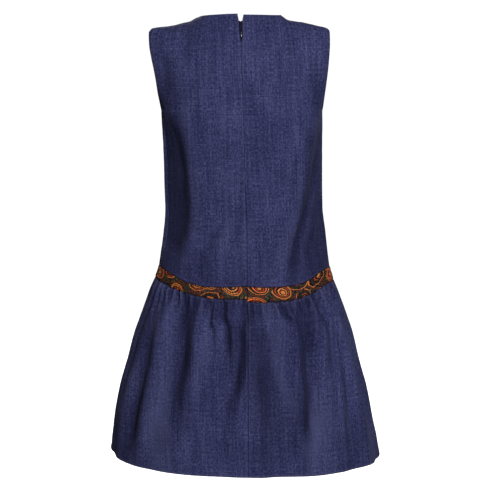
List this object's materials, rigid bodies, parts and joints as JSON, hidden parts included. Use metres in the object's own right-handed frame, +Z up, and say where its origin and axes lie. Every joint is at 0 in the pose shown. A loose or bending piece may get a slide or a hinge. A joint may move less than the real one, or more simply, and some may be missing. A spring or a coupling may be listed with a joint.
{
  "type": "denim dress",
  "caption": "Sleeveless drop-waist denim dress with a printed band, a gathered skirt and a back zip, filled out as worn.",
  "frame": {"origin": "middle of the neck opening, level with the points where the shoulder seams meet the neckline", "axes": "+Z up, +Y out of the dress's back where the zip is, +X towards the wearer's left"},
  "size_m": [0.5327, 0.3802, 0.8573],
  "materials": {
    "denim": "matt indigo denim, slubby twill",
    "printed_band": "smooth printed cotton, orange and ochre on black",
    "zip_tape": "dark woven zip tape with a nylon coil",
    "zip_metal": "black lacquered zip slider and pull tab"
  },
  "bodies": {
    "dress": {"bodice_front": "denim", "bodice_back_left": "denim", "bodice_back_right": "denim", "skirt_front": "denim", "skirt_back_left": "denim", "skirt_back_right": "denim", "band_front": "printed_band", "band_back_left": "printed_band", "band_back_right": "printed_band", "zip_tape_left": "zip_tape", "zip_tape_right": "zip_tape", "zip_slider": "zip_metal"},
    "pull_tab": {"zip_pull_tab": "zip_metal"}
  },
  "joints": [
    {"name": "pull_tab_hinge", "type": "hinge", "parent": "dress", "child": "pull_tab", "pos_m": [-0.00331, 0.0845, -0.03473], "axis": [1, 0, 0], "range_deg": [0, 150]}
  ]
}
